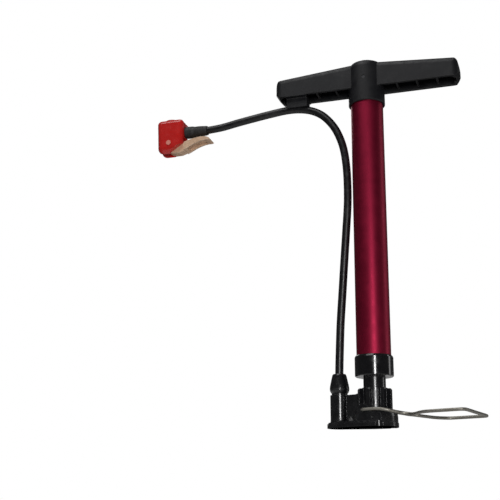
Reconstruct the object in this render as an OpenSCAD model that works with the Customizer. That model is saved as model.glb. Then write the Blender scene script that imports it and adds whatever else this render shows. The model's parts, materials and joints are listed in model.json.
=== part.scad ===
// Small floor pump for balls: barrel on a ribbed base with a wire foot loop,
// T handle, rubber hose and a lever head.
// Frame: barrel axis is Z, base stands on z = 0, hose boss at -X, foot loop at +X.

/* [Base] */
// height of the flange plate
flange_t = 4; // [3:0.5:6]
// radius of the base around the barrel axis
base_r = 16.9; // [16.5:0.1:18]
// half depth of the base block between its flat front and back
base_half_y = 13.4; // [12.5:0.1:13.5]
// distance of the hose boss from the barrel axis
boss_x = 28.5; // [26:0.5:32]
// radius of the hose boss
boss_r = 7.1; // [6.5:0.1:8]
// height of the hose boss
boss_h = 24.5; // [22:0.5:26]
// radius of the ribbed column
column_r = 9.6; // [9:0.1:10.5]
// height of the ribbed column
column_h = 28.5; // [26:0.5:30]
// radius of the neck below the lower cap
neck_r = 8.3; // [7.5:0.1:9]

/* [Barrel] */
// outer radius of the barrel
barrel_r = 12.95; // [12:0.05:14]
// bore radius of the barrel
bore_r = 11.75; // [11:0.05:12.5]
// height of the barrel's top edge
barrel_top = 259.5; // [236:0.5:259.5]
// outer radius of the lower cap
cap_r = 14.4; // [14:0.1:16]
// underside of the lower cap
cap_z = 36.9; // [36.5:0.1:37.5]
// height of the lower cap
cap_h = 15.7; // [14:0.1:18]

/* [Rod and piston] */
// piston rod radius
rod_r = 4; // [3.5:0.1:5]
// running gap of sliding parts
run_gap = 0.05; // [0.02:0.01:0.1]

/* [Handle] */
// half length of the grip
grip_half = 75; // [65:1:85]
// lower edge of the grip
grip_z = 269.6; // [268:0.1:271]
// top of the grip beside the hub
grip_top = 291; // [289:0.5:294]
// half depth of the grip
grip_half_y = 10.1; // [9:0.1:11]
// wall of the grip
grip_wall = 2.4; // [2:0.1:3]
// hub radius
hub_r = 14.6; // [14.2:0.1:15.5]
// lower rim of the hub's skirt
skirt_z = 256.1; // [254:0.1:257]
// turn of the handle about the barrel axis, as posed
handle_yaw = 12; // [0:1:30]

/* [Hose and head] */
// hose radius
hose_r = 3.15; // [2.8:0.05:3.5]
// distance of the head's stem face from the barrel axis
head_reach = 157.6; // [140:0.1:170]
// height of the stem at the head
head_z = 252.1; // [245:0.1:258]
// valve bore radius in the grommet, for a 7.7 mm valve stem
valve_r = 3.95; // [3.9:0.05:4.2]

/* [Foot loop] */
// wire radius of the foot loop
wire_r = 1.2; // [1:0.1:1.5]
// half width of the loop
loop_half_y = 28; // [24:0.5:30]
// far end of the loop
loop_end_x = 75.3; // [70:0.1:80]

/* [Hidden] */
fine = 96;
mid = 48;
small = 32;
eps = 0.01;

// foot loop pivot
pivot_x = -4.5;
pivot_z = 11.9;
lug_r = 4.4;
pivot_gap = 0.06;
// air passages in the base
duct_r = 1.8;
duct_z = 4.8;
chamber_r = 3.3;
seat_z = 7.5;
seat_t = 2;
ball_r = 2;
seat_bore = 1.4;
thread_r = 4;
thread_z = 15.5;
spigot_r = 6;
spigot_top = 39.7;
cap_floor = 2.8;
seal_t = 1;
barrel_z = spigot_top + seal_t;
// piston stack, from the nut up
nut_z = 41.7;
nut_t = 3;
washer_z = nut_z + nut_t + run_gap;
washer_t = 1;
cup_z = washer_z + washer_t;
cup_t = 5;
piston_z = cup_z + cup_t;
piston_t = 8;
tail_r = 2.5;
guide_plug = 14;
guide_flange = 3;
bumper_t = 1.6;
// handle post
post_r = 7.6;
post_z = barrel_top + guide_flange + run_gap;
rod_top = 281.5;
pin_z = 276.5;
pin_r = 1.25;
clip_z = 261.2;
arm_slope = 4.8;
// head, in its own frame: +X to the hose, +Z to the valve mouth
head_l = 24.1;
head_w = 17.6;
head_low = -19.5;
head_high = 11.1;
ring_t = 1.8;
ring_r = 7.4;
grommet_r = 6.2;
grommet_low = 1;
grommet_top = head_high - ring_t;
fork_half = 4.3;
cam_x = -12.3;
cam_z = -10.8;
cam_r = 5.5;
lever_half = 4.2;
lever_pin_r = 1.5;
pusher_r = 5.6;
pusher_z = cam_z + cam_r + 0.3;

// hose route, from the base nut up, over and out to the head
route = [[-28.5, 0, 28.5], [-28.4, -0.1, 42], [-27.6, -0.4, 58], [-26.2, -0.9, 80], [-24, -1.5, 103],
  [-21.6, -2.2, 128], [-19, -3, 154], [-17.2, -3.5, 174], [-16.9, -3.6, 190], [-17.5, -3.7, 206],
  [-19.4, -4.1, 221], [-23, -4.9, 233.4], [-28.2, -6, 243.6], [-36, -7.7, 252.8], [-45, -9.6, 258.2],
  [-55, -11.7, 260.8], [-66, -14, 261.3], [-80, -17, 259.8], [-94, -20, 257.8], [-108, -23, 255.6],
  [-122, -25.9, 253.2], [-136, -28.9, 252.2], [-149.2, -31.7, 252.1]];

// smooth curve through the route points
function bend(a, b, c, d, t) = 0.5 * (2 * b + (c - a) * t + (2 * a - 5 * b + 4 * c - d) * t * t
  + (3 * b - a - 3 * c + d) * t * t * t);
function pick(p, i) = i < 0 ? 2 * p[0] - p[1]
  : i >= len(p) ? 2 * p[len(p) - 1] - p[len(p) - 2] : p[i];
function smooth(p, n) = concat([for (i = [0:len(p) - 2]) for (k = [0:n - 1])
  bend(pick(p, i - 1), pick(p, i), pick(p, i + 1), pick(p, i + 2), k / n)], [p[len(p) - 1]]);
function unit(v) = v / norm(v);
function heading(p, i) = unit(p[min(i + 1, len(p) - 1)] - p[max(i - 1, 0)]);
function side(t, up) = unit(up - (up * t) * t);

// tube of n sides swept along p; up is a direction the curve never takes
module sweep(p, r, n, up) {
  pts = [for (i = [0:len(p) - 1]) let (t = heading(p, i), a = side(t, up), b = cross(t, a))
    for (k = [0:n - 1]) p[i] + r * (cos(360 * k / n) * a + sin(360 * k / n) * b)];
  last = (len(p) - 1) * n;
  polyhedron(pts, concat([[for (k = [0:n - 1]) k]], [[for (k = [n - 1:-1:0]) last + k]],
    [for (i = [0:len(p) - 2]) for (k = [0:n - 1]) let (j = (k + 1) % n)
      [i * n + k, (i + 1) * n + k, (i + 1) * n + j, i * n + j]]));
}

module at_head() {
  rotate([0, 0, handle_yaw]) translate([-head_reach, 0, head_z]) children();
}

// bar along Y
module y_bar(x, z, r, y0, y1, n = small) {
  translate([x, y0, z]) rotate([-90, 0, 0]) cylinder(r = r, h = y1 - y0, $fn = n);
}

module flange_plan(grow) {
  translate([-boss_x, 0]) circle(r = 9.6 + grow, $fn = fine);
  intersection() {
    circle(r = base_r + grow, $fn = fine);
    square([2 * base_r + 10, 2 * (base_half_y + 1.4 + grow)], center = true);
  }
  polygon([[-boss_x, -9.6 - grow], [-7.5, -14.8 - grow], [-7.5, 14.8 + grow], [-boss_x, 9.6 + grow]]);
}

module base_solid() {
  linear_extrude(flange_t - 1) flange_plan(0);
  translate([0, 0, flange_t - 1 - eps]) linear_extrude(1 + eps) flange_plan(-0.8);
  // domed foot around the column, cut flat in front and behind
  intersection() {
    rotate_extrude($fn = fine) polygon([[0, 1], [16.5, 1], [16.5, 7.5], [16.2, 9.3],
      [15.4, 11], [14.1, 12.2], [12.4, 12.8], [column_r - 0.2, 13], [0, 13]]);
    translate([-12, -base_half_y, 0]) cube([40, 2 * base_half_y, 30]);
  }
  cylinder(r = column_r, h = column_h, $fn = fine);
  // neck and the spigot that plugs into the lower cap
  cylinder(r = neck_r, h = cap_z, $fn = fine);
  cylinder(r = spigot_r, h = spigot_top, $fn = fine);
  // upright ribs of the block
  for (a = [0, 45, 90, -45, -90, 135, -135]) rotate([0, 0, a]) intersection() {
    translate([0, -1.4, 1]) cube([14, 2.8, column_h - 1.5]);
    rotate_extrude($fn = fine) polygon([[0, 1], [13.2, 1], [13.2, column_h - 1.7],
      [12.4, column_h - 0.6], [0, column_h - 0.6]]);
  }
  // web with its fillet, hose boss and gussets
  translate([0, 2.6, 0]) rotate([90, 0, 0]) linear_extrude(5.2)
    polygon([[-boss_x, 1], [0, 1], [0, column_h - 1], [-10.6, column_h - 1.2], [-11.4, column_h - 2.6],
      [-12.8, 25.1], [-14.6, 24.6], [-boss_x, 24.3]]);
  translate([-boss_x, 0, 0]) cylinder(r = boss_r, h = boss_h, $fn = fine);
  translate([-boss_x, 0, 0]) cylinder(r1 = boss_r + 1.4, r2 = boss_r, h = flange_t + 1.5, $fn = fine);
  for (x = [-19.4, -13.6]) translate([x + 0.9, 0, flange_t - 1]) rotate([0, -90, 0])
    linear_extrude(1.8) polygon([[0, -9.6], [1.2, -9.6], [6, -2], [6, 2], [1.2, 9.6], [0, 9.6]]);
  // pivot lugs of the foot loop
  y_bar(pivot_x, pivot_z, lug_r, -base_half_y, base_half_y, mid);
  for (s = [-1, 1]) translate([pivot_x - 3.4, s > 0 ? base_half_y - 6 : -base_half_y, 1])
    cube([6.8, 6, pivot_z - 1]);
}

module base_body() color([0.05, 0.05, 0.06]) difference() {
  base_solid();
  // air way from the barrel down, across and up into the hose boss
  translate([0, 0, duct_z]) cylinder(r = duct_r, h = 60, $fn = small);
  translate([-boss_x, 0, duct_z]) rotate([0, 90, 0]) cylinder(r = duct_r, h = boss_x, $fn = small);
  translate([-boss_x, 0, duct_z]) cylinder(r = duct_r, h = 10, $fn = small);
  translate([-boss_x, 0, seat_z]) cylinder(r = chamber_r, h = 20, $fn = small);
  translate([-boss_x, 0, thread_z]) cylinder(r = thread_r + 0.02, h = 20, $fn = mid);
  // holes for the foot loop's ends
  for (s = [-1, 1]) y_bar(pivot_x, pivot_z, wire_r + pivot_gap, s > 0 ? base_half_y - 5 : -base_half_y - 1,
    s > 0 ? base_half_y + 1 : -base_half_y + 5);
  // arched notches in the flange and dimples in the flat faces
  for (s = [-1, 1]) {
    translate([9, s * (base_half_y + 2.2), 0]) cylinder(r = 3.4, h = 8, center = true, $fn = mid);
    y_bar(3.2, 6.4, 1.3, s > 0 ? base_half_y - 2 : -base_half_y - 1, s > 0 ? base_half_y + 1 : -base_half_y + 2);
  }
}

module lower_cap() color([0.03, 0.03, 0.035]) rotate_extrude($fn = fine) polygon([
  [spigot_r + 0.02, cap_z], [cap_r - 0.6, cap_z], [cap_r, cap_z + 0.6], [cap_r, cap_z + cap_h - 1.6],
  [cap_r - 0.3, cap_z + cap_h - 0.7], [cap_r - 0.9, cap_z + cap_h], [barrel_r + 0.02, cap_z + cap_h],
  [barrel_r + 0.02, cap_z + cap_floor], [spigot_r + 0.02, cap_z + cap_floor]]);

module ring(r0, r1, z, h, n = fine) translate([0, 0, z]) difference() {
  cylinder(r = r1, h = h, $fn = n);
  translate([0, 0, -1]) cylinder(r = r0, h = h + 2, $fn = n);
}

module barrel_seal() color([0.1, 0.1, 0.1]) ring(8, barrel_r, spigot_top, seal_t);

module barrel() color([0.5, 0.03, 0.12]) ring(bore_r, barrel_r, barrel_z, barrel_top - barrel_z);

module top_guide() color([0.08, 0.08, 0.09]) rotate_extrude($fn = fine) polygon([
  [rod_r + run_gap, barrel_top - guide_plug], [bore_r - 0.9, barrel_top - guide_plug],
  [bore_r - 0.02, barrel_top - guide_plug + 1], [bore_r - 0.02, barrel_top], [barrel_r, barrel_top],
  [barrel_r, barrel_top + guide_flange - 0.6], [barrel_r - 0.6, barrel_top + guide_flange],
  [rod_r + run_gap, barrel_top + guide_flange]]);

module rod() color([0.75, 0.76, 0.78]) difference() {
  union() {
    translate([0, 0, nut_z - 1]) cylinder(r = tail_r, h = 30, $fn = mid);
    translate([0, 0, piston_z + piston_t + run_gap])
      cylinder(r = rod_r, h = rod_top - piston_z - piston_t - run_gap, $fn = fine);
  }
  y_bar(0, pin_z, pin_r + 0.02, -6, 6);
}

module piston() color([0.85, 0.85, 0.82]) rotate_extrude($fn = fine) polygon([
  [tail_r + run_gap, piston_z], [9.2, piston_z], [9.2, piston_z + 1.6],
  [bore_r - run_gap, piston_z + 2.2], [bore_r - run_gap, piston_z + piston_t - 0.8],
  [bore_r - 0.8, piston_z + piston_t], [tail_r + run_gap, piston_z + piston_t]]);

module cup_seal() color([0.12, 0.12, 0.13]) rotate_extrude($fn = fine) polygon([
  [2.85, cup_z + 1.6], [8.6, cup_z + 1.6], [9.6, cup_z], [bore_r - 0.3, cup_z],
  [bore_r - 0.3, cup_z + 0.8], [bore_r - 1.1, cup_z + cup_t], [2.85, cup_z + cup_t]]);

module piston_washer() color([0.7, 0.7, 0.72]) union() {
  ring(tail_r + run_gap, 8, washer_z, washer_t);
  ring(tail_r + run_gap, 5, washer_z, washer_t + 1.6);
}

module piston_nut() color([0.7, 0.6, 0.35]) translate([0, 0, nut_z]) difference() {
  cylinder(r = 4.4, h = nut_t, $fn = 6);
  translate([0, 0, -1]) cylinder(r = tail_r, h = nut_t + 2, $fn = mid);
}

module bumper() color([0.1, 0.1, 0.1]) ring(rod_r + 0.35, 8, piston_z + piston_t, bumper_t);

module grip_section(inset, low) {
  // cross-section with rounded top corners, drawn with X up
  top = grip_top - grip_z - inset;
  w = grip_half_y - inset;
  r = 5.5 - inset;
  translate([low, -w]) square([top - r - low, 2 * w]);
  translate([low, -w + r]) square([top - low, 2 * (w - r)]);
  for (s = [-1, 1]) translate([top - r, s * (w - r)]) circle(r = r, $fn = mid);
}

// one arm along +X, sloping down to its tip
module arm_bar(inset, reach) {
  translate([0, 0, grip_z]) rotate([0, arm_slope, 0]) translate([0, 0, 1.3]) mirror([1, 0, 0])
    rotate([0, -90, 0]) translate([0, 0, -8]) linear_extrude(reach + 8) grip_section(inset, -12);
}

module arm_outline(inset) {
  z0 = grip_z;
  intersection() {
    translate([0, 20, 0]) rotate([90, 0, 0]) linear_extrude(40) polygon([[0, z0 - (inset > 0 ? 1 : 0)],
      [grip_half - 3.4, z0 - (inset > 0 ? 1 : 0)], [grip_half - inset, z0 + 3.6], [grip_half - inset, z0 + 8],
      [grip_half - 1.2 - inset, z0 + 13], [grip_half - 4 - inset, z0 + 16 - inset],
      [grip_half - 8 - inset, z0 + 17.4 - inset], [20, z0 + 30], [0, z0 + 30]]);
    translate([0, 0, z0 - 2]) linear_extrude(40) {
      translate([0, -grip_half_y + inset]) square([grip_half - 6 - inset, 2 * (grip_half_y - inset)]);
      translate([0, -grip_half_y + 6]) square([grip_half - inset, 2 * (grip_half_y - 6)]);
      for (s = [-1, 1]) translate([grip_half - 6 - inset, s * (grip_half_y - 6)])
        circle(r = 6 - (inset > 0 ? inset : 0), $fn = mid);
    }
    arm_bar(inset, grip_half + 10);
  }
}

module handle() color([0.05, 0.05, 0.055]) rotate([0, 0, handle_yaw]) difference() {
  union() {
    for (s = [0, 1]) mirror([s, 0, 0]) difference() {
      arm_outline(0);
      difference() {
        arm_outline(grip_wall);
        // cross ribs and the long middle rib
        for (x = [25, 41, 57]) translate([x - 0.8, -20, grip_z + 2.5]) cube([1.6, 40, 40]);
        translate([0, -0.8, grip_z + 5]) cube([200, 1.6, 40]);
      }
    }
    // hub with its domed top
    rotate_extrude($fn = fine) polygon([[0, skirt_z], [hub_r - 0.7, skirt_z], [hub_r, skirt_z + 0.7],
      [hub_r, 287.3], [hub_r - 0.5, 289.4], [hub_r - 1.9, 291.3], [hub_r - 4.4, 292.7], [7, 293.6], [3.5, 294],
      [0, 294.1]]);
    // hose clip: a bridge under one arm that sits over the hose
    translate([-66, -5.6, clip_z]) cube([17, 11.2, grip_z - clip_z + 2]);
    for (s = [-1, 1]) translate([-66, s > 0 ? 4.4 : -grip_half_y, grip_z - 0.5]) cube([17, grip_half_y - 4.4, 2.5]);
  }
  // skirt, hollow hub and the bore of the post
  translate([0, 0, skirt_z - 1]) cylinder(r = 13.35, h = post_z + 1 - skirt_z + 3, $fn = fine);
  ring(post_r, 12.4, skirt_z, 285 - skirt_z);
  translate([0, 0, skirt_z]) cylinder(r = rod_r + 0.02, h = rod_top - skirt_z, $fn = fine);
  // hose channel of the clip
  translate([-70, 0, clip_z]) rotate([0, 90, 0]) cylinder(r = 3.9, h = 26, $fn = mid);
  y_bar(0, pin_z, pin_r + 0.02, -20, 20);
}

module handle_pin() color([0.8, 0.8, 0.82]) rotate([0, 0, handle_yaw])
  y_bar(0, pin_z, pin_r, -hub_r + 0.6, hub_r - 0.6);

module valve_seat() color([0.8, 0.65, 0.3]) translate([-boss_x, 0, 0])
  ring(seat_bore, chamber_r - 0.02, seat_z, seat_t, small);

module valve_ball() color([0.8, 0.8, 0.82])
  translate([-boss_x, 0, seat_z + seat_t + sqrt(ball_r * ball_r - seat_bore * seat_bore) + 0.03])
    sphere(r = ball_r, $fn = small);

spring_z = 12.95;
spring_turns = 3;
spring_rise = 2.2;
module valve_spring() color([0.75, 0.75, 0.78]) sweep([for (i = [0:spring_turns * 14])
  [-boss_x + 1.75 * cos(360 * i / 14), 1.75 * sin(360 * i / 14), spring_z + spring_rise * i / (spring_turns * 14)]],
  0.24, 8, [0, 0, 1]);

module hose_barb() color([0.78, 0.62, 0.3]) translate([-boss_x, 0, 0]) rotate_extrude($fn = mid) polygon([
  [1.1, thread_z], [thread_r, thread_z], [thread_r, 28.5], [1.9, 28.5], [2.1, 29.5], [1.8, 33.5], [2.1, 33.5],
  [1.8, 37.5], [1.1, 37.5]]);

module hose_nut() color([0.06, 0.06, 0.06]) translate([-boss_x, 0, 0]) rotate_extrude($fn = mid) polygon([
  [thread_r + 0.02, boss_h], [6, boss_h], [6, 25.8], [6.5, 26.4], [7.2, 27.8], [7.4, 29.5], [7.1, 31.9],
  [6.2, 36.1], [5.4, 39.5], [4.9, 40.5], [hose_r + 0.3, 40.5], [hose_r + 0.3, 28.6], [thread_r + 0.02, 28.6]]);

module hose() color([0.06, 0.06, 0.065]) sweep(smooth(route, 2), hose_r, 12,
  [sin(handle_yaw), -cos(handle_yaw), 0]);

module head_sleeve() color([0.05, 0.05, 0.05]) at_head() translate([0.3, 0, 0]) rotate([0, 90, 0])
  rotate_extrude($fn = mid) polygon([[hose_r + 0.35, 0], [5, 0], [5.2, 2], [5.1, 6], [4.6, 8.4], [4.6, 12.5],
    [4.1, 18.6], [3.9, 19.6], [hose_r + 0.35, 19.6]]);

module head_barb() color([0.78, 0.62, 0.3]) at_head() translate([-5, 0, 0]) rotate([0, 90, 0])
  rotate_extrude($fn = mid) polygon([[1, 0], [3.2, 0], [3.2, 8.2], [2, 8.2], [2, 10], [1.8, 14], [2, 14],
    [1.7, 18], [1, 18]]);

// rounded block: one ball in each corner, larger ones below
module head_block() hull() {
  for (x = [-head_l, 0], y = [-head_w / 2, head_w / 2]) {
    translate([x + (x < 0 ? 4 : -4), y + (y < 0 ? 4 : -4), head_high - 4]) sphere(r = 4, $fn = small);
    translate([x + (x < 0 ? 6.4 : -6.4), y + (y < 0 ? 6 : -6), head_low + 6]) sphere(r = 6, $fn = small);
  }
}

module head_body() color([0.8, 0.08, 0.06]) at_head() difference() {
  head_block();
  // mouth with its ring seat, grommet seat, pusher well and the hole for the stem
  translate([cam_x, 0, grommet_top]) cylinder(r = ring_r, h = 20, $fn = fine);
  translate([cam_x, 0, grommet_low]) cylinder(r = grommet_r, h = 20, $fn = fine);
  translate([cam_x, 0, cam_z]) cylinder(r = pusher_r + run_gap, h = 20, $fn = fine);
  translate([-5, 0, 0]) rotate([0, 90, 0]) cylinder(r = 3.22, h = 10, $fn = mid);
  // fork for the lever, open below and at both sides
  translate([-40, -fork_half, head_low - 5]) cube([60, 2 * fork_half, cam_z + 5.8 - head_low + 5]);
  // corner of the fork's cheeks cut away over the lever
  translate([0, 20, 0]) rotate([90, 0, 0]) linear_extrude(40)
    polygon([[2, -9.2], [-11.8, -18.4], [-9.4, -26], [2, -26]]);
  y_bar(cam_x, cam_z, lever_pin_r + 0.02, -20, 20);
}

module mouth_ring() color([0.75, 0.07, 0.06]) at_head() translate([cam_x, 0, grommet_top]) rotate_extrude($fn = fine)
  polygon([[4.5, 0], [ring_r, 0], [ring_r, ring_t - 0.3], [ring_r - 0.3, ring_t], [5.3, ring_t], [4.5, ring_t - 0.8]]);

module grommet() color([0.13, 0.13, 0.13]) at_head() translate([cam_x, 0, 0])
  ring(valve_r, grommet_r, grommet_low, grommet_top - grommet_low);

module pusher() color([0.85, 0.85, 0.8]) at_head() translate([cam_x, 0, 0])
  ring(1.3, pusher_r, pusher_z, grommet_low - pusher_z);

module lever() color([0.86, 0.82, 0.72]) at_head() difference() {
  union() {
    y_bar(cam_x, cam_z, cam_r, -lever_half, lever_half, mid);
    // tongue in the fork
    translate([0, lever_half, 0]) rotate([90, 0, 0]) linear_extrude(2 * lever_half)
      polygon([[-16.8, -12], [-15.8, -15.2], [-13, -17.8], [-9, -19], [-4, -18.9], [0.7, -17.4], [0.7, -10.2],
        [-2.7, -10.4], [-7, -9]]);
    // finger paddle, an S that ends under the hose
    translate([0, 5.6, 0]) rotate([90, 0, 0]) linear_extrude(11.2)
      polygon([[0.6, -10.2], [3.5, -9.2], [9, -7.9], [14.9, -7.1], [18.5, -7.2], [21.4, -7.8], [23.2, -8.8], [24, -9.9],
        [22.5, -10.5], [19.4, -10.5], [15.9, -11], [11.6, -12.2], [7.8, -13.8], [3, -16.3], [0.6, -17.4]]);
  }
  // finger hollow under the paddle
  translate([0, 4.1, 0]) rotate([90, 0, 0]) linear_extrude(8.2)
    polygon([[3, -18], [11.6, -14], [20, -12], [19, -9.2], [15, -9.2], [9.4, -10.2], [5.6, -11.8], [3.4, -13.6]]);
  y_bar(cam_x, cam_z, lever_pin_r + run_gap, -10, 10);
}

module lever_pin() color([0.8, 0.3, 0.25]) at_head() {
  y_bar(cam_x, cam_z, lever_pin_r, -head_w / 2 - 0.2, head_w / 2 + 0.2);
  for (s = [-1, 1]) y_bar(cam_x, cam_z, 2.1, s > 0 ? head_w / 2 : -head_w / 2 - 0.5, s > 0 ? head_w / 2 + 0.5 : -head_w / 2);
}

// half of the foot loop, from its hinge end to the middle of the end bar
half_loop = [[pivot_x, -13.2, pivot_z], [pivot_x, -14.3, pivot_z], [pivot_x + 0.9, -15.1, pivot_z],
  [pivot_x + 2.6, -15.3, 11.9], [3, -15.2, 12], [9, -15, 11.8], [14.5, -13.8, 11], [20, -10, 9.8],
  [24, -7, 9], [27.5, -6.2, 8.5], [31, -7.8, 8], [35, -13, 7.6], [39, -19.2, 7.3],
  [43, -24.2, 7.3], [47, -27, 7.3], [52, -loop_half_y, 7.4], [62, -loop_half_y, 7.6],
  [loop_end_x - 4, -loop_half_y, 7.8], [loop_end_x - 1.1, -loop_half_y + 1.1, 7.8],
  [loop_end_x, -loop_half_y + 4, 7.8], [loop_end_x, -10, 7.8], [loop_end_x, 0, 7.8]];
loop = concat(half_loop, [for (i = [len(half_loop) - 2:-1:0]) [half_loop[i][0], -half_loop[i][1], half_loop[i][2]]]);
module foot_wire() color([0.45, 0.44, 0.38]) {
  sweep(smooth(loop, 2), wire_r, 10, [0, 0, 1]);
  for (s = [-1, 1]) y_bar(pivot_x, pivot_z, wire_r, s > 0 ? 9.2 : -13.6, s > 0 ? 13.6 : -9.2);
}

base_body();
lower_cap();
barrel_seal();
barrel();
top_guide();
rod();
piston();
cup_seal();
piston_washer();
piston_nut();
bumper();
handle();
handle_pin();
valve_seat();
valve_ball();
valve_spring();
hose_barb();
hose_nut();
hose();
head_sleeve();
head_barb();
head_body();
mouth_ring();
grommet();
pusher();
lever();
lever_pin();
foot_wire();
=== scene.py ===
import json
import math
import bpy
import bmesh
from mathutils import Matrix, Vector


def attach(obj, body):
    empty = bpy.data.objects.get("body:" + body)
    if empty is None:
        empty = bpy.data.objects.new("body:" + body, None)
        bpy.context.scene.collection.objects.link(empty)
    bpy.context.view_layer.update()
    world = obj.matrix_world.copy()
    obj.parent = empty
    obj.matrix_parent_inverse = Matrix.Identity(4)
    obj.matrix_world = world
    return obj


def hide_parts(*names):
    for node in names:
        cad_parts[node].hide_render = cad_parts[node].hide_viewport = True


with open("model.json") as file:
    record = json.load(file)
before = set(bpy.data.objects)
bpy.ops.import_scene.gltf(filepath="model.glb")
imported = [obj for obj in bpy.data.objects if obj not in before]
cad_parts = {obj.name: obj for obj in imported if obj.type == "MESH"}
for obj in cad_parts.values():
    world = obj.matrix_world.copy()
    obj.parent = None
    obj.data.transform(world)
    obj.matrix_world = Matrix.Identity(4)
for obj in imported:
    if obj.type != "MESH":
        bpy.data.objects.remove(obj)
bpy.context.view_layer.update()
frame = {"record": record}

D = bpy.data
scene = bpy.context.scene

# ---------------------------------------------------------------- camera
PAN, TILT, ROLL = math.radians(-30.06), math.radians(15.80), math.radians(0.60)
fwd = Vector((math.sin(PAN) * math.cos(TILT), math.cos(PAN) * math.cos(TILT), math.sin(TILT)))
right = Vector((math.cos(PAN), -math.sin(PAN), 0))
up = right.cross(fwd)
r = right * math.cos(ROLL) + up * math.sin(ROLL)
u = -right * math.sin(ROLL) + up * math.cos(ROLL)
cam_data = D.cameras.new("camera")
cam_data.lens, cam_data.sensor_width = 64.21, 36
cam_data.clip_start, cam_data.clip_end = 0.01, 20
cam = D.objects.new("camera", cam_data)
scene.collection.objects.link(cam)
cam.matrix_world = Matrix((
    (r.x, u.x, -fwd.x, 0.2517), (r.y, u.y, -fwd.y, -0.6218), (r.z, u.z, -fwd.z, -0.0538), (0, 0, 0, 1)))
scene.camera = cam


# ---------------------------------------------------------------- curves
def spline_points(route, n):
    """The same smooth curve as in the CAD, n steps between two route points, in metres."""
    pts = [Vector([c / 1000 for c in p]) for p in route]
    pick = lambda i: (2 * pts[0] - pts[1]) if i < 0 else (2 * pts[-1] - pts[-2]) if i >= len(pts) else pts[i]
    out = []
    for i in range(len(pts) - 1):
        a, b, c, d = pick(i - 1), pick(i), pick(i + 1), pick(i + 2)
        for k in range(n):
            t = k / n
            out.append(0.5 * (2 * b + (c - a) * t + (2 * a - 5 * b + 4 * c - d) * t * t
                              + (3 * b - a - 3 * c + d) * t ** 3))
    return out + [pts[-1]]


def curve_object(name, pts, radius, res):
    """A round tube along pts. The radius sits on each point, so that Blender's box of the curve is right."""
    cu = D.curves.new(name, "CURVE")
    cu.dimensions = "3D"
    cu.bevel_depth, cu.bevel_resolution, cu.use_fill_caps = 1.0, res, True
    sp = cu.splines.new("POLY")
    sp.points.add(len(pts) - 1)
    for p, q in zip(sp.points, pts):
        p.co, p.radius = (*q, 1), radius
    sp.use_smooth = True
    o = D.objects.new(name, cu)
    scene.collection.objects.link(o)
    return o


HOSE_D, WIRE_D = 0.0063, 0.0024
# the routes are in millimetres, as in the CAD
HOSE = [(-28.5, 0, 28.5), (-28.4, -0.1, 42), (-27.6, -0.4, 58), (-26.2, -0.9, 80), (-24, -1.5, 103),
        (-21.6, -2.2, 128), (-19, -3, 154), (-17.2, -3.5, 174), (-16.9, -3.6, 190), (-17.5, -3.7, 206),
        (-19.4, -4.1, 221), (-23, -4.9, 233.4), (-28.2, -6, 243.6), (-36, -7.7, 252.8), (-45, -9.6, 258.2),
        (-55, -11.7, 260.8), (-66, -14, 261.3), (-80, -17, 259.8), (-94, -20, 257.8), (-108, -23, 255.6),
        (-122, -25.9, 253.2), (-136, -28.9, 252.2), (-149.2, -31.7, 252.1)]
hose_line = spline_points(HOSE, 6)
hose = curve_object("rubber_hose", hose_line, HOSE_D / 2, 10)
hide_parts("hose")
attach(hose, "base")

HALF_LOOP = [(-4.5, -9.3, 11.9), (-4.5, -13.2, 11.9), (-4.5, -14.3, 11.9), (-3.6, -15.1, 11.9), (-1.9, -15.3, 11.9),
             (3, -15.2, 12), (9, -15, 11.8), (14.5, -13.8, 11), (20, -10, 9.8), (24, -7, 9),
             (27.5, -6.2, 8.5), (31, -7.8, 8), (35, -13, 7.6), (39, -19.2, 7.3), (43, -24.2, 7.3),
             (47, -27, 7.3), (52, -28, 7.4), (62, -28, 7.6), (71.3, -28, 7.8), (74.2, -26.9, 7.8),
             (75.3, -24, 7.8), (75.3, -10, 7.8), (75.3, 0, 7.8)]
loop = HALF_LOOP + [(x, -y, z) for x, y, z in reversed(HALF_LOOP[:-1])]
wire = curve_object("steel_loop", spline_points(loop, 5), WIRE_D / 2, 6)
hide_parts("foot_wire")
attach(wire, "foot_loop")


# ---------------------------------------------------------------- materials
SPECK_SHARE = 0.12
WORN_GAIN = 7.0
SCRATCH_DEPTH = 0.00003


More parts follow.
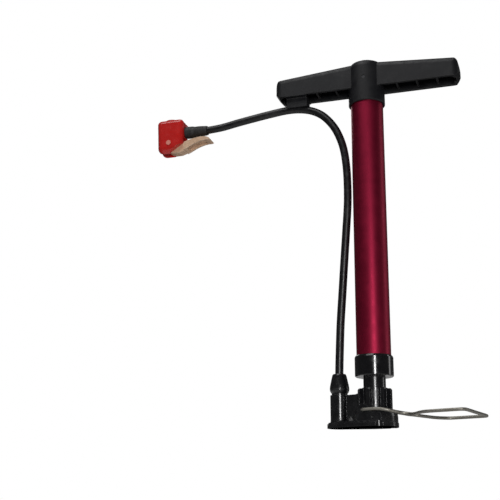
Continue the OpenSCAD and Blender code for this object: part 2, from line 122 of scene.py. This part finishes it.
class Nodes:
    """Short-hand for building a node tree."""

    def __init__(self, name):
        self.mat = D.materials.new(name)
        self.mat.use_nodes = True
        self.t = self.mat.node_tree
        self.t.nodes.clear()
        self.out = self.add("ShaderNodeOutputMaterial")
        self.bsdf = self.add("ShaderNodeBsdfPrincipled")
        self.link(self.bsdf, "BSDF", self.out, "Surface")
        self.co = self.add("ShaderNodeTexCoord")

    def add(self, kind, **values):
        n = self.t.nodes.new(kind)
        for k, v in values.items():
            setattr(n, k, v)
        return n

    def link(self, a, sa, b, sb):
        self.t.links.new(a.outputs[sa], b.inputs[sb])

    def noise(self, scale, detail=3.0, rough=0.6, stretch=(1, 1, 1)):
        m = self.add("ShaderNodeMapping")
        m.inputs["Scale"].default_value = stretch
        n = self.add("ShaderNodeTexNoise")
        n.inputs["Scale"].default_value = scale
        n.inputs["Detail"].default_value = detail
        n.inputs["Roughness"].default_value = rough
        self.link(self.co, "Object", m, "Vector")
        self.link(m, "Vector", n, "Vector")
        return n

    def ramp(self, src, sock, stops):
        n = self.add("ShaderNodeValToRGB")
        e = n.color_ramp.elements
        while len(e) < len(stops):
            e.new(0.5)
        for el, (pos, col) in zip(e, stops):
            el.position = pos
            el.color = (*col, 1) if len(col) == 3 else col
        self.link(src, sock, n, "Fac")
        return n

    def mix(self, fac, fac_sock, a, b):
        """a and b are (node, socket) or a colour."""
        n = self.add("ShaderNodeMix", data_type="RGBA")
        ins = {0: n.inputs[0], 6: n.inputs[6], 7: n.inputs[7]}
        if fac is None:
            ins[0].default_value = fac_sock
        else:
            self.t.links.new(fac.outputs[fac_sock], ins[0])
        for k, v in ((6, a), (7, b)):
            if isinstance(v[0], (int, float)):
                ins[k].default_value = (*v, 1)
            else:
                self.t.links.new(v[0].outputs[v[1]], ins[k])
        return n

    def maths(self, op, a, b=0.0, clamp=False):
        n = self.add("ShaderNodeMath", operation=op, use_clamp=clamp)
        for i, v in enumerate((a, b)):
            if isinstance(v, (int, float)):
                n.inputs[i].default_value = v
            else:
                self.t.links.new(v[0].outputs[v[1]], n.inputs[i])
        return n


def shade(a, k):
    return tuple(min(1.0, c * k) for c in a)


def finish_material(name, color, rough, metallic=0.0, grain=1500, bump=0.25, depth=0.00004, vary=0.18,
                    rough_vary=0.12, edge=None, edge_r=0.0004, coat=0.0, coat_rough=0.1, ior=1.5, specular=0.5,
                    scratch=0.0, stretch=(1, 1, 1), dust=None, extra=None):
    """A moulded, turned or drawn surface: colour drift, roughness drift, grain, worn edges."""
    k = Nodes(name)
    b = k.bsdf
    b.inputs["Metallic"].default_value = metallic
    b.inputs["IOR"].default_value = ior
    b.inputs["Specular IOR Level"].default_value = specular
    b.inputs["Coat Weight"].default_value = coat
    b.inputs["Coat Roughness"].default_value = coat_rough
    big = k.noise(35, 4, 0.55)
    fine = k.noise(grain, 3, 0.6, stretch)
    base = k.ramp(big, "Fac", [(0.3, shade(color, 1 - vary)), (0.7, shade(color, 1 + vary))])
    dark = k.ramp(fine, "Fac", [(0.35, shade(color, 0.75)), (0.65, shade(color, 1.2))])
    col = k.mix(None, SPECK_SHARE, (base, "Color"), (dark, "Color"))
    bev = k.add("ShaderNodeBevel", samples=4)
    bev.inputs["Radius"].default_value = edge_r
    if edge:
        geo = k.add("ShaderNodeNewGeometry")
        dot = k.add("ShaderNodeVectorMath", operation="DOT_PRODUCT")
        k.link(bev, "Normal", dot, 0)
        k.link(geo, "Normal", dot, 1)
        worn = k.maths("SUBTRACT", 1.0, (dot, "Value"))
        patch = k.noise(220, 3)
        worn = k.maths("MULTIPLY", (worn, "Value"), (patch, "Fac"))
        worn = k.maths("MULTIPLY", (worn, "Value"), WORN_GAIN, True)
        col = k.mix(worn, "Value", (col, 2), edge)
    if dust:
        film = k.ramp(k.noise(90, 5, 0.7), "Fac", [(0.52, (0, 0, 0)), (0.74, (1, 1, 1))])
        part = k.maths("MULTIPLY", (film, "Color"), dust[1], True)
        col = k.mix(part, "Value", (col, 2), dust[0])
    if extra:
        col = extra(k, col)
    k.link(col, 2, b, "Base Color")
    rn = k.noise(140, 4, 0.6)
    mr = k.add("ShaderNodeMapRange")
    mr.inputs["From Min"].default_value, mr.inputs["From Max"].default_value = 0.3, 0.7
    mr.inputs["To Min"].default_value = max(0.03, rough - rough_vary)
    mr.inputs["To Max"].default_value = min(1.0, rough + rough_vary)
    k.link(rn, "Fac", mr, "Value")
    k.link(mr, "Result", b, "Roughness")
    bp = k.add("ShaderNodeBump")
    bp.inputs["Strength"].default_value = bump
    bp.inputs["Distance"].default_value = depth
    k.link(fine, "Fac", bp, "Height")
    k.link(bev, "Normal", bp, "Normal")
    if scratch:
        lines = k.noise(900, 2, 0.5, (0.03, 1, 1))
        cut = k.ramp(lines, "Fac", [(0.60, (0, 0, 0)), (0.66, (1, 1, 1))])
        bp2 = k.add("ShaderNodeBump")
        bp2.inputs["Strength"].default_value = scratch
        bp2.inputs["Distance"].default_value = SCRATCH_DEPTH
        k.link(cut, "Color", bp2, "Height")
        k.link(bp, "Normal", bp2, "Normal")
        bp = bp2
    k.link(bp, "Normal", b, "Normal")
    return k.mat


def brown_patches(k, col):
    """Brown patches laid over the whole lever by a noise mask."""
    n = k.ramp(k.noise(260, 5, 0.65), "Fac", [(0.47, (0, 0, 0)), (0.72, (1, 1, 1))])
    f = k.maths("MULTIPLY", (n, "Color"), 0.5, True)
    return k.mix(f, "Value", (col, 2), (0.34, 0.2, 0.11))


M = {
    "base_plastic": finish_material("black_nylon", (0.005, 0.005, 0.006), 0.24, grain=1600, bump=0.2, vary=0.25,
                                    edge=(0.05, 0.05, 0.055), coat=0.25, coat_rough=0.18,
                                    dust=((0.05, 0.05, 0.05), 0.12)),
    "cap_plastic": finish_material("gloss_black", (0.004, 0.004, 0.005), 0.17, grain=2200, bump=0.08, vary=0.2,
                                   edge=(0.04, 0.04, 0.045), coat=0.4, coat_rough=0.08, scratch=0.15),
    "barrel_red": finish_material("crimson_anodised", (0.26, 0.008, 0.035), 0.45, metallic=0.85, grain=2600,
                                  bump=0.15, vary=0.06, rough_vary=0.05, stretch=(1, 1, 0.02), edge=(0.5, 0.1, 0.16),
                                  edge_r=0.0003),
    "handle_plastic": finish_material("grained_black", (0.007, 0.0072, 0.009), 0.48, specular=0.32, grain=1300,
                                      bump=0.45, depth=0.00006,
                                      vary=0.25, edge=(0.06, 0.06, 0.06), edge_r=0.0008,
                                      dust=((0.06, 0.06, 0.06), 0.15)),
    # pin head: its pale red base colour is partly the pin's own red and partly a painted highlight, brightened to
    # stand for the glint on the boss
    "pin_red": finish_material("pale_red_painted_highlight", (0.8, 0.28, 0.22), 0.25, grain=1800, bump=0.1, vary=0.1, coat=0.5),
    "dark_steel": finish_material("blackened_pin", (0.05, 0.05, 0.055), 0.4, metallic=0.6, grain=2200, bump=0.1),
    "steel": finish_material("bright_steel", (0.62, 0.62, 0.63), 0.25, metallic=1.0, grain=700, bump=0.03, vary=0.08,
                             stretch=(1, 1, 0.1)),
    "wire_steel": finish_material("dull_wire", (0.26, 0.25, 0.22), 0.42, metallic=0.9, grain=1400, bump=0.15,
                                  vary=0.2, dust=((0.16, 0.12, 0.07), 0.4)),
    "brass": finish_material("turned_brass", (0.66, 0.45, 0.18), 0.28, metallic=1.0, grain=2200, bump=0.15, vary=0.1),
    "hose_rubber": finish_material("black_hose", (0.005, 0.005, 0.006), 0.34, grain=1500, bump=0.12, vary=0.3,
                                   dust=((0.07, 0.07, 0.07), 0.3)),
    "soft_rubber": finish_material("soft_black", (0.016, 0.016, 0.016), 0.6, grain=1800, bump=0.35, vary=0.25,
                                   dust=((0.1, 0.1, 0.1), 0.2)),
    "head_red": finish_material("gloss_red", (0.58, 0.014, 0.012), 0.22, grain=1800, bump=0.1, vary=0.1, coat=0.5,
                                coat_rough=0.07, edge=(0.75, 0.1, 0.07), edge_r=0.0006, scratch=0.2),
    "lever_cream": finish_material("cream_lever", (0.72, 0.49, 0.33), 0.35, grain=1500, bump=0.2, vary=0.08,
                                   edge=(0.85, 0.8, 0.7), coat=0.2, extra=brown_patches),
    "inner_plastic": finish_material("acetal", (0.72, 0.71, 0.66), 0.4, grain=1800, bump=0.15, vary=0.06),
}
for s in frame["record"]["subparts"]:
    o = D.objects.get(s["node"])
    if o is None:
        continue
    o.data.materials.clear()
    o.data.materials.append(M[s["material_slot"]])
for o, s in ((hose, "hose_rubber"), (wire, "wire_steel")):
    o.data.materials.append(M[s])


# ---------------------------------------------------------------- floor, world, lights
bm = bmesh.new()
bmesh.ops.create_grid(bm, x_segments=8, y_segments=8, size=0.32)
me = D.meshes.new("studio_floor")
bm.to_mesh(me)
bm.free()
floor = D.objects.new("studio_floor", me)
scene.collection.objects.link(floor)
k = Nodes("pale_floor")
k.bsdf.inputs["Roughness"].default_value = 0.6
tone = k.ramp(k.noise(6, 3), "Fac", [(0.3, (0.86, 0.86, 0.86)), (0.7, (0.9, 0.9, 0.9))])
k.link(tone, "Color", k.bsdf, "Base Color")
geo, clear, both = k.add("ShaderNodeNewGeometry"), k.add("ShaderNodeBsdfTransparent"), k.add("ShaderNodeMixShader")
k.link(geo, "Backfacing", both, "Fac")
k.link(k.bsdf, "BSDF", both, 1)
k.link(clear, "BSDF", both, 2)
k.link(both, "Shader", k.out, "Surface")
me.materials.append(k.mat)

world = D.worlds.new("studio")
scene.world = world
world.use_nodes = True
wt = world.node_tree
wt.nodes.clear()
wo, path, mixer = (wt.nodes.new(n) for n in ("ShaderNodeOutputWorld", "ShaderNodeLightPath", "ShaderNodeMixShader"))
dim, white = wt.nodes.new("ShaderNodeBackground"), wt.nodes.new("ShaderNodeBackground")
dim.inputs["Color"].default_value, dim.inputs["Strength"].default_value = (1, 1, 1, 1), 0.07
white.inputs["Color"].default_value, white.inputs["Strength"].default_value = (1, 1, 1, 1), 1.0
wt.links.new(path.outputs["Is Camera Ray"], mixer.inputs["Fac"])
wt.links.new(dim.outputs[0], mixer.inputs[1])
wt.links.new(white.outputs[0], mixer.inputs[2])
wt.links.new(mixer.outputs[0], wo.inputs["Surface"])


def area(name, azimuth, elevation, distance, size, power, aim=(0, 0, 0.16)):
    """Azimuth 0 is in front (-Y) and turns towards +X."""
    d = D.lights.new(name, "AREA")
    d.shape, d.size, d.size_y, d.energy = "RECTANGLE", size[0], size[1], power
    o = D.objects.new(name, d)
    scene.collection.objects.link(o)
    a, e = math.radians(azimuth), math.radians(elevation)
    back = Vector((math.sin(a) * math.cos(e), -math.cos(a) * math.cos(e), math.sin(e)))
    o.location = Vector(aim) + back * distance
    o.rotation_mode = "QUATERNION"
    o.rotation_quaternion = (-back).to_track_quat("-Z", "Y")


area("key", 27, 0, 1.0, (0.10, 0.26), 3.8, aim=(0, 0, 0.1))
area("soft_front", -8, 48, 1.2, (0.8, 0.5), 3.4)
area("rim_right", 126, 12, 1.1, (0.22, 0.7), 1.1)
area("top", -20, 75, 1.1, (0.7, 0.5), 2.5)
area("back_left", 215, 35, 1.2, (0.9, 0.7), 3.5)
scene.view_settings.view_transform = "Standard"
scene.view_settings.look = "None"
